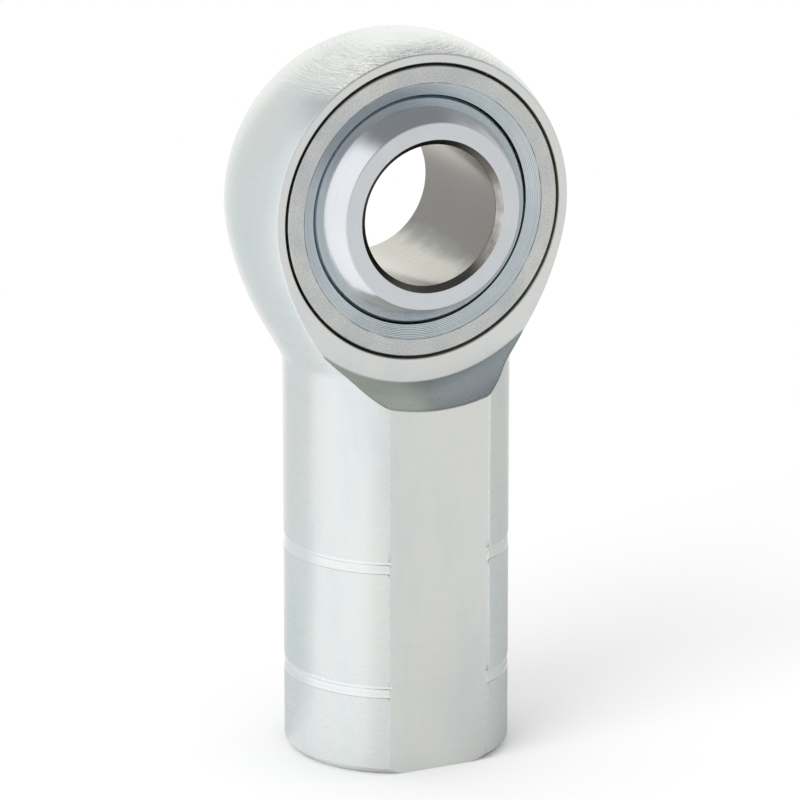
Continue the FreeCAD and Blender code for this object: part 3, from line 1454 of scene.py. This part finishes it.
@dataclass
class Race:
    """Ring pressed into the head, with a lead-in, conical mouths and the spherical seat."""

    sizes: Sizes
    face_ring: float = 1.80
    edge: float = 0.12
    edge_chamfer: float = 0.10
    lead_depth: float = 0.90
    lip: float = 0.06
    lip_depth: float = 0.40
    mouth_depth: float = 0.88
    rim: float = 0.16
    wall: float = 2.01
    lead_round: float = 0.3
    corner_round: float = 0.04
    mouth_round: float = 0.22
    step_slope: float = 0.02
    step_round: float = 0.03
    step_reach: Triple = (0.5, 0.3, 0.08)

    @property
    def face(self) -> float:
        """Outer radius of a face."""
        return self.sizes.race - self.edge

    @property
    def mouth(self) -> float:
        """Radius at which a face turns into a mouth."""
        return self.face - self.face_ring

    @property
    def seat_height(self) -> float:
        """Height at which a mouth ends, from the middle."""
        return self.sizes.head_half - self.mouth_depth

    def seat_radius(self, height: float) -> float:
        """Radius of the spherical seat at a height from the middle."""
        return math.sqrt((self.sizes.race - self.wall) ** 2 - height**2)

    def profile(self) -> Profile:
        """Section of the race.

        Returns:
            The closed profile.
        """
        half, outside = self.sizes.head_half, self.sizes.race
        face, mouth = self.face, self.mouth
        seat_edge = self.seat_radius(self.seat_height)
        lip = seat_edge + self.lip
        rise = self.mouth_depth * (mouth - lip) / (mouth - seat_edge)
        low = self.seat_height - self.lip_depth
        inner = self.seat_radius(low)
        top = [
            (outside, half - self.lead_depth, self.lead_round),
            (face + self.edge_chamfer, half - self.edge_chamfer, self.corner_round),
            (face, half, self.corner_round),
            (mouth, half, self.mouth_round),
            (lip, half - rise, self.corner_round),
            (lip - self.step_slope, low + self.step_slope, self.step_round),
            (inner, low, 0.0),
        ]
        ring = Profile.rounded(turned_over(top) + top)
        seat_run = Run((inner, low), (inner, -low), (0.0, 0.0), -2 * math.atan2(low, inner))
        return Profile(ring.runs + (seat_run,), True)

    def places(self, rows: Points) -> Points:
        """Finish of each (radius, height).

        Args:
            rows: rows of (radius, height).

        Returns:
            0 for a face, 1 a mouth, 2 the seat, 3 the crevice, 4 a mouth's rim, 5 the seat's lip.
        """
        half, mouth, seat_height = self.sizes.head_half, self.mouth, self.seat_height
        radius, height = rows[:, 0], np.abs(rows[:, 1])
        low = seat_height - self.lip_depth
        inward, down, up = self.step_reach
        # The crevice mask takes the finish darkened as painted shade.
        crevice = (radius > self.face + self.edge_chamfer - NEAR) & (height < half - self.edge_chamfer)
        # The step mask takes the seat's lip finish, darkened as painted shade.
        step = (radius < mouth) & (radius > self.seat_radius(low) - inward)
        step &= (height < seat_height + up) & (height > low - down)
        rim = (np.abs(radius - mouth) < self.rim) & (height > half - self.rim)
        inside = (radius < mouth + NEAR) & (height > seat_height)
        return np.select([crevice, step, rim, inside, radius < mouth], [3, 5, 4, 1, 2], 0)

    def build(self, finishes: Finishes) -> bpy.types.Object:
        """Makes the race and joins it to the frame.

        Args:
            finishes: the part's finishes.

        Returns:
            The race.
        """
        turned = Turned(self.profile(), Axis.BORE, self.sizes.centre)
        materials = finishes.take(
            Finish.RACE_FACE, Finish.RACE_MOUTH, Finish.BALL_POLISH, Finish.CREVICE_PAINTED_SHADE,
            Finish.RACE_RIM, Finish.SEAT_LIP_PAINTED_SHADE,
        )
        made = laid_ring("race_ring", turned, materials, self.places)
        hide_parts("race")
        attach(made, "housing")
        return made


@dataclass
class Housing:
    """Turned head, neck and shank, milled to its faces and flats, bored and threaded."""

    sizes: Sizes
    blend_radius: float = 34.0
    blend_start: float = 11.5
    taper: float = 29.0
    neck_fillet: float = 3.0
    shank: float = 12.7
    flat_half: float = 11.1
    base_chamfer: float = 0.8
    base_rounds: Pair = (0.15, 0.30)
    grooves: tuple[float, ...] = (9.10, 23.65)
    groove_width: float = 1.45
    groove_depth: float = 0.15
    groove_step: float = 0.36
    groove_slopes: Triple = (0.03, 0.10, 0.05)
    groove_rounds: Triple = (0.02, 0.03, 0.04)
    ledge_margin: float = 0.25
    ledge_angle: float = 30.0
    ledge_fillet: float = 0.30
    mouth_chamfer: float = 0.32
    mouth_depth: float = 1.00
    mouth_round: float = 0.3
    major: float = 7.9375
    pitch: float = 25.4 / 18
    thread_depth: float = 35.0
    hole_tip: float = 42.31
    edge: float = 0.16
    edge_lines: Pair = (1.0, 0.4)

    def blank(self) -> Turned:
        """Turned blank, before it is milled.

        Returns:
            The blank.
        """
        head, centre = self.sizes.head, self.sizes.centre
        start, taper = math.radians(self.blend_start), math.radians(self.taper)
        inward = head - self.blend_radius
        blend = (inward * math.cos(start), centre - inward * math.sin(start))
        drop = self.blend_radius * math.sin(taper)
        cone = (blend[0] + self.blend_radius * math.cos(taper), blend[1] - drop)
        neck = cone[1] - (cone[0] - self.shank) / math.tan(taper)
        corners = [
            (0.0, 0.0, 0.0),
            (self.shank - self.base_chamfer, 0.0, self.base_rounds[0]),
            (self.shank, self.base_chamfer, self.base_rounds[1]),
        ]
        lower, middle, upper = self.groove_slopes
        foot, inner, rim = self.groove_rounds
        shallow, deep = self.shank - self.groove_depth / 2, self.shank - self.groove_depth
        for bottom in self.grooves:
            top, step = bottom + self.groove_width, self.groove_step
            corners += [
                (self.shank, bottom, foot), (shallow, bottom + lower, foot),
                (shallow, top - step - middle, inner), (deep, top - step, inner),
                (deep, top - upper, inner), (self.shank, top, rim),
            ]
        corners += [(self.shank, neck, self.neck_fillet), (*cone, 0.0)]
        meeting = (head * math.cos(start), centre - head * math.sin(start))
        profile = Profile.rounded(corners).followed_by(
            Run(cone, meeting, blend, taper - start),
            Run(meeting, (0.0, centre + head), (0.0, centre), math.pi / 2 + start),
        )
        return Turned(profile, Axis.SHANK)

    def face_cutters(self, far: float) -> tuple[Turned, Turned]:
        """Space swept by the face cutter in front of the head and behind it.

        Args:
            far: how far out it reaches.

        Returns:
            The space in front and the one behind.
        """
        near = self.sizes.head_half
        narrow = self.sizes.head + self.ledge_margin
        wide = narrow + (far - near) * math.tan(math.radians(self.ledge_angle))
        corners = [(0.0, near, 0.0), (narrow, near, self.ledge_fillet), (wide, far, 0.0), (0.0, far, 0.0)]
        spaces = (Profile.rounded(corners), Profile.rounded(turned_over(corners)))
        return tuple(Turned(space, Axis.BORE, self.sizes.centre) for space in spaces)

    def race_bore(self, out: float) -> Turned:
        """Bore that holds the race, with a steep lead-in at both mouths.

        Args:
            out: how far out the cutter reaches.

        Returns:
            The space of the bore.
        """
        half, radius = self.sizes.head_half, self.sizes.race
        slope = self.mouth_chamfer / self.mouth_depth
        low = half - self.mouth_depth
        wide = radius + (out - low) * slope
        top = [(radius, low, self.mouth_round), (wide, out, 0.0), (0.0, out, 0.0)]
        return Turned(Profile.rounded(turned_over(top) + top), Axis.BORE, self.sizes.centre)

    def carved(self) -> Carved:
        """The housing as a distance field, whose members are numbered as in Cut.

        Returns:
            The housing.
        """
        hole = ThreadedHole(self.sizes.minor, self.major, self.pitch, self.thread_depth, self.hole_tip)
        far = 4 * self.sizes.centre
        cutters = (*self.face_cutters(far), self.race_bore(far), hole)
        return Carved(self.blank(), (Slab(self.flat_half),), cutters, self.edge)

    def mesh(self, shape: Carved) -> tuple[Points, Points, Points]:
        """Mesh of the housing with broken edges.

        Args:
            shape: the housing as a distance field.

        Returns:
            The points, the triangles, and the normals at the points.
        """
        near, past = self.sizes.head_half, 1.0
        slab, hole = shape.keep[0], shape.cutters[-1]
        tools = [slab.cutters(across=40.0, height=self.sizes.centre, reach=20.0)]
        for cutter in (*self.face_cutters(near + self.sizes.head), self.race_bore(near + past)):
            tools.append(cutter.mesh(AROUND_BORE, LONGEST, SAGITTA))
        tools.append(hole.mesh(around=72, per_pitch=8))
        points, triangles = carve(shape.blank.mesh(AROUND_SHANK, LONGEST, SAGITTA), tools)
        # Lines of points where the broken edges start, and others within them.
        for share in self.edge_lines:
            for cut in Cut:
                measure = partial(shape.measure, cut)
                points, triangles = scribe(points, triangles, measure, -self.edge * share)
        points, normals = settle(points, shape)
        return points, triangles, normals

    def places(self, shape: Carved, centres: Points) -> Points:
        """Surface of each triangle.

        Args:
            shape: the housing as a distance field.
            centres: middles of the triangles.

        Returns:
            The values of their surfaces.
        """
        cut, other = shape.which(centres)
        on_face = np.abs(centres[:, 1]) < self.sizes.head_half + 3 * NEAR
        across = np.hypot(centres[:, 0], centres[:, 1])
        height = centres[:, 2]
        first, last = np.minimum(cut, other), np.maximum(cut, other)
        faced = (last == Cut.FRONT) | (last == Cut.BACK)
        meeting = (first == Cut.BLANK) & ((last == Cut.FLATS) | (on_face & faced))
        seam = ((first == Cut.BLANK) | (first == Cut.FLATS)) & faced & ~on_face
        low = (height > self.grooves[0]) & (height < self.grooves[-1] + self.groove_width)
        turned = cut == Cut.BLANK
        milled = (cut == Cut.FRONT) | (cut == Cut.BACK)
        found = {
            Surface.EDGE: meeting,
            Surface.SEAM: seam,
            Surface.GROOVE: turned & low & (across < self.shank - 2 * NEAR),
            Surface.TURNED: turned,
            Surface.FLAT: cut == Cut.FLATS,
            Surface.FACE: milled & on_face,
            Surface.LEDGE: milled,
            Surface.BORE: cut == Cut.BORE,
        }
        values = [surface.value for surface in found]
        return np.select(list(found.values()), values, Surface.THREAD.value)

    def build(self, finishes: Finishes) -> bpy.types.Object:
        """Makes the housing and joins it to the frame.

        Args:
            finishes: the part's finishes.

        Returns:
            The housing.
        """
        shape = self.carved()
        points, triangles, normals = self.mesh(shape)
        centres = points[triangles].mean(axis=1)
        # The ledge finish carries painted light and shade, the groove and edge finishes painted
        # highlights, and the seam finish and the crevice finish, which goes on the race bore, painted
        # shade.
        materials = finishes.take(
            Finish.TURNED, Finish.FACED, Finish.LEDGE, Finish.FLAT, Finish.CREVICE_PAINTED_SHADE, Finish.THREAD,
            Finish.GROOVE, Finish.EDGE, Finish.SEAM,
        )
        made = make_piece(
            "housing_body", points, triangles, normals, materials,
            self.places(shape, centres), shape.blank.along(points),
        )
        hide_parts("body")
        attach(made, "housing")
        return made


# The studio


def aimed(name: str, data: bpy.types.ID, place: Vector, aim: Vector) -> bpy.types.Object:
    """Camera or lamp that looks from a place at another.

    Args:
        name: its name.
        data: the camera or the lamp.
        place: where it is, in metres.
        aim: what it looks at, in metres.

    Returns:
        The object, linked to the scene.
    """
    made = linked(name, data)
    made.location = place
    made.rotation_mode = "QUATERNION"
    made.rotation_quaternion = (aim - place).to_track_quat("-Z", "Y")
    return made


@dataclass(frozen=True)
class View:
    """Camera at the photograph's place: far off, a little above and to the left.

    Angles are in degrees and lengths in millimetres, but for the clip, which is in metres.
    """

    centre_height: float
    azimuth: float = -25.60
    elevation: float = 14.32
    distance: float = 580.4
    aim_right: float = 0.461
    aim_up: float = -22.466
    lens: float = 235.62
    sensor: float = 36.0
    clip: Pair = (0.01, 20.0)

    def build(self) -> bpy.types.Object:
        """Makes the camera and looks through it.

        Returns:
            The camera.
        """
        turn, rise = math.radians(self.azimuth), math.radians(self.elevation)
        back = Vector((math.sin(turn) * math.cos(rise), -math.cos(turn) * math.cos(rise), math.sin(rise)))
        right = Vector((math.cos(turn), math.sin(turn), 0.0))
        up = back.cross(right)
        head = Vector((0.0, 0.0, self.centre_height))
        place = (head + back * self.distance) * MM
        aim = (head + right * self.aim_right + up * self.aim_up) * MM
        data = bpy.data.cameras.new("photo_view")
        data.lens = self.lens
        data.sensor_width = self.sensor
        data.clip_start, data.clip_end = self.clip
        made = aimed("photo_view", data, place, aim)
        bpy.context.scene.camera = made
        return made


@dataclass(frozen=True)
class Card:
    """Soft-edged patch of the surroundings that the metal reflects. Angles are in degrees.

    Azimuth 0 is in front of the part (-Y) and 90 is on its +X side.
    """

    azimuth: float
    half_width: float
    low: float
    high: float
    colour: Colour
    soft: float = 9.0

    def mask(self, graph: Graph, sideways: Socket, rise: Socket) -> Socket:
        """Share of the card in a direction.

        Args:
            graph: the graph that needs it.
            sideways: the direction's level part, as a unit vector's socket.
            rise: sine of the direction's elevation.

        Returns:
            The share's socket.
        """
        turn = math.radians(self.azimuth)
        facing = graph.vector("DOT_PRODUCT", sideways, (math.sin(turn), -math.cos(turn), 0.0))
        near, far = (math.cos(math.radians(self.half_width + k * self.soft)) for k in (-1, 1))
        bottom = tuple(math.sin(math.radians(max(self.low + k * self.soft, -90))) for k in (-1, 1))
        top = tuple(math.sin(math.radians(min(self.high + k * self.soft, 90))) for k in (-1, 1))
        across = graph.spread(facing, (far, near), (0.0, 1.0), smooth=True)
        above = graph.spread(rise, bottom, (0.0, 1.0), smooth=True) if self.low > -90 else 1.0
        below = graph.spread(rise, top, (1.0, 0.0), smooth=True)
        return graph.math("MULTIPLY", across, graph.math("MULTIPLY", above, below))


@dataclass(frozen=True)
class Studio:
    """White surroundings, a soft lamp and the pale floor.

    The base's two sizes are in millimetres, and the studio's own lengths in metres.
    """

    base_radius: float
    base_half: float
    floor_half: float = 3.0
    floor_gap: float = 0.00003
    floor_shade: float = 0.93
    floor_fade: Pair = (0.06, 0.20)
    mirror_shade: float = 0.88
    middle_height: float = 0.04
    lamp_place: Triple = (-0.55, -0.25, 0.60)
    lamp_size: float = 0.45
    lamp_power: float = 2.2
    fill: float = 0.95
    dome: Colour = (0.25, 0.26, 0.27)
    cards: tuple[Card, ...] = (
        Card(20.0, 80.0, -90.0, 48.0, (0.50, 0.51, 0.52), 12.0),
        Card(15.0, 75.0, -90.0, 8.0, (0.87, 0.88, 0.87), 10.0),
        Card(105.0, 32.0, -90.0, 27.0, (0.66, 0.68, 0.66)),
        Card(150.0, 16.0, -90.0, 60.0, (1.13, 1.13, 1.10)),
        Card(-146.0, 38.0, -90.0, 50.0, (0.77, 0.81, 0.82), 12.0),
        Card(-80.0, 33.0, -90.0, 58.0, (1.03, 1.04, 1.05), 10.0),
        Card(172.0, 12.0, -90.0, 74.0, (1.08, 1.08, 1.04), 10.0),
        Card(-130.0, 38.0, 44.0, 68.0, (0.50, 0.52, 0.53), 12.0),
        Card(-176.0, 27.0, 48.0, 78.0, (1.34, 1.34, 1.28), 12.0),
        Card(80.0, 60.0, -90.0, -42.0, (0.64, 0.67, 0.68), 12.0),
    )

    def tone(self, graph: Graph, sideways: Socket, rise: Socket) -> Socket:
        """Colour that the metal sees in a direction.

        Args:
            graph: the graph that needs it.
            sideways: the direction's level part, as a unit vector's socket.
            rise: sine of the direction's elevation.

        Returns:
            The colour's socket.
        """
        shade = (*self.dome, 1.0)
        for card in self.cards:
            shade = graph.mix(card.mask(graph, sideways, rise), shade, (*card.colour, 1.0))
        return shade

    def surroundings(self) -> None:
        """Lights the scene from all round; what the camera sees directly is white."""
        world = bpy.data.worlds.new("studio")
        bpy.context.scene.world = world
        world.use_nodes = True
        graph = Graph(world.node_tree)
        way = graph.node("TexCoord").outputs["Generated"]
        shade = self.tone(graph, graph.level(way), graph.parts(way)[2])
        path = graph.node("LightPath")
        even = graph.mix(path.outputs["Is Diffuse Ray"], shade, grey(self.fill))
        seen = graph.mix(path.outputs["Is Camera Ray"], even, grey(1.0))
        light = graph.node("Background", None, Color=seen, Strength=1.0)
        graph.node("OutputWorld", None, Surface=light.outputs[0])

    def floor_white(self) -> bpy.types.Material:
        """Makes the floor's finish.

        It is matt near the part and glows white further off. Metal sees the studio's own tone in
        it, which paints on it the studio's light and shade with a shadow near the part, and it is clear
        from below.

        Returns:
            The material, with its nodes.
        """
        made = bpy.data.materials.new("floor_white")
        made.use_nodes = True
        graph = Graph(made.node_tree)
        place = graph.node("TexCoord").outputs["Object"]
        far = graph.spread(graph.vector("LENGTH", place), self.floor_fade, (0.0, 1.0))
        path = graph.node("LightPath")
        mirrored = path.outputs["Is Glossy Ray"]
        direct = graph.math("MAXIMUM", path.outputs["Is Camera Ray"], mirrored)
        direct = graph.math("MAXIMUM", direct, path.outputs["Is Transmission Ray"])
        from_middle = graph.vector("SUBTRACT", place, (0.0, 0.0, self.middle_height))
        rise = graph.parts(graph.vector("NORMALIZE", from_middle))[2]
        # For glossy rays the floor takes the studio's tone by direction: painted light, and a painted
        # shadow near the part.
        tone = self.tone(graph, graph.level(place), rise)
        # Glossy rays see the matt floor near the part dimmed further, as painted shade.
        mirrored_painted_shade = graph.vector("MULTIPLY", tone, (self.mirror_shade,) * 3)
        matt = graph.node("BsdfDiffuse", None, Color=graph.mix(mirrored, grey(self.floor_shade), mirrored_painted_shade))
        glow = graph.node("Emission", None, Color=graph.mix(mirrored, grey(1.0), tone), Strength=1.0)
        share = graph.math("MULTIPLY", far, direct)
        above = graph.node("MixShader", None, in_0=share, in_1=matt.outputs[0], in_2=glow.outputs[0])
        under = graph.node("NewGeometry").outputs["Backfacing"]
        clear = graph.node("BsdfTransparent")
        both = graph.node("MixShader", None, in_0=under, in_1=above.outputs[0], in_2=clear.outputs[0])
        graph.node("OutputMaterial", None, Surface=both.outputs[0])
        return made

    def floor(self) -> bpy.types.Object:
        """Makes the pale floor, which keeps the shadow near the part and is white further off.

        It is open under the part, so that light from below reaches the threaded hole.

        Returns:
            The floor.
        """
        points, faces = [], []
        for column in range(AROUND_SHANK):
            turn = math.tau * column / AROUND_SHANK
            inner = min(self.base_radius, self.base_half / max(abs(math.sin(turn)), POLE)) * MM
            for reach in (inner, self.floor_half):
                points.append((reach * math.cos(turn), reach * math.sin(turn), -self.floor_gap))
            here, after = 2 * column, 2 * ((column + 1) % AROUND_SHANK)
            faces.append((here, here + 1, after + 1, after))
        mesh = bpy.data.meshes.new("floor")
        mesh.from_pydata(points, [], faces)
        mesh.materials.append(self.floor_white())
        made = linked("floor", mesh)
        return made

    def lamp(self) -> None:
        """Makes the square soft lamp, which shines on the middle of the part."""
        data = bpy.data.lights.new("key", "AREA")
        data.shape = "SQUARE"
        data.size = self.lamp_size
        data.energy = self.lamp_power
        made = aimed("key", data, Vector(self.lamp_place), Vector((0, 0, self.middle_height)))
        made.visible_glossy = False

    def build(self) -> None:
        """Makes the whole studio."""
        self.surroundings()
        self.floor()
        self.lamp()


def main() -> None:
    """Builds the camera, the studio and the three parts, and logs each piece's points and faces."""
    logging.basicConfig(level=logging.INFO, format="%(name)s: %(message)s")
    bpy.context.scene.view_settings.view_transform = "Standard"
    sizes = Sizes.from_frame()
    View(sizes.centre).build()
    housing = Housing(sizes)
    Studio(housing.shank - housing.base_chamfer - housing.edge, housing.flat_half - housing.edge).build()
    finishes = Finishes(sizes.centre)
    for maker in (Ball(sizes), Race(sizes), housing):
        piece = maker.build(finishes)
        LOG.info("%s: %d points, %d faces", piece.name, len(piece.data.vertices), len(piece.data.polygons))


if __name__ == "__main__":
    main()
